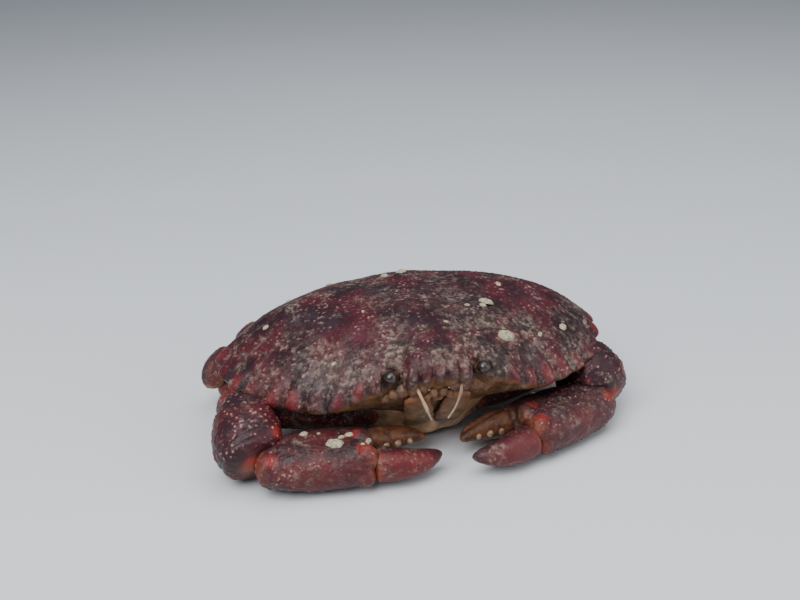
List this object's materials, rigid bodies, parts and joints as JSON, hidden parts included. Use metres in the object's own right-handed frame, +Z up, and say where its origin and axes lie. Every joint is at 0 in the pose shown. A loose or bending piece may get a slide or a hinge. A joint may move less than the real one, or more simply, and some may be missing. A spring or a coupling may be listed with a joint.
{
  "type": "red rock crab",
  "caption": "Red rock crab at life size, resting on the floor with its claws folded in front of the mouth and its walking legs tucked in.",
  "frame": {"origin": "on the floor, in the middle of the crab's flat under side", "axes": "+Z up, +X towards the crab's left side, -Y the way the mouth faces"},
  "size_m": [0.1743, 0.134, 0.0549],
  "materials": {
    "shell": "satin",
    "claw": "satin",
    "leg": "satin",
    "underside": "satin",
    "mouth": "satin",
    "feeler": "satin",
    "eye": "gloss"
  },
  "bodies": {
    "root": {"carapace": "shell", "chest": "underside", "abdomen": "underside", "right_mouth_plate": "mouth", "right_eyestalk": "mouth", "right_eye": "eye", "right_antenna": "feeler", "right_antennule": "feeler", "right_claw_merus": "claw", "right_claw_carpus": "claw", "right_claw_palm": "claw", "right_claw_finger": "claw", "right_leg1_merus": "leg", "right_leg1_carpus": "leg", "right_leg1_propodus": "leg", "right_leg1_dactyl": "leg", "right_leg2_merus": "leg", "right_leg2_carpus": "leg", "right_leg2_propodus": "leg", "right_leg2_dactyl": "leg", "right_leg3_merus": "leg", "right_leg3_carpus": "leg", "right_leg3_propodus": "leg", "right_leg3_dactyl": "leg", "right_leg4_merus": "leg", "right_leg4_carpus": "leg", "right_leg4_propodus": "leg", "right_leg4_dactyl": "leg", "left_mouth_plate": "mouth", "left_eyestalk": "mouth", "left_eye": "eye", "left_antenna": "feeler", "left_antennule": "feeler", "left_claw_merus": "claw", "left_claw_carpus": "claw", "left_claw_palm": "claw", "left_claw_finger": "claw", "left_leg1_merus": "leg", "left_leg1_carpus": "leg", "left_leg1_propodus": "leg", "left_leg1_dactyl": "leg", "left_leg2_merus": "leg", "left_leg2_carpus": "leg", "left_leg2_propodus": "leg", "left_leg2_dactyl": "leg", "left_leg3_merus": "leg", "left_leg3_carpus": "leg", "left_leg3_propodus": "leg", "left_leg3_dactyl": "leg", "left_leg4_merus": "leg", "left_leg4_carpus": "leg", "left_leg4_propodus": "leg", "left_leg4_dactyl": "leg"}
  },
  "joints": []
}
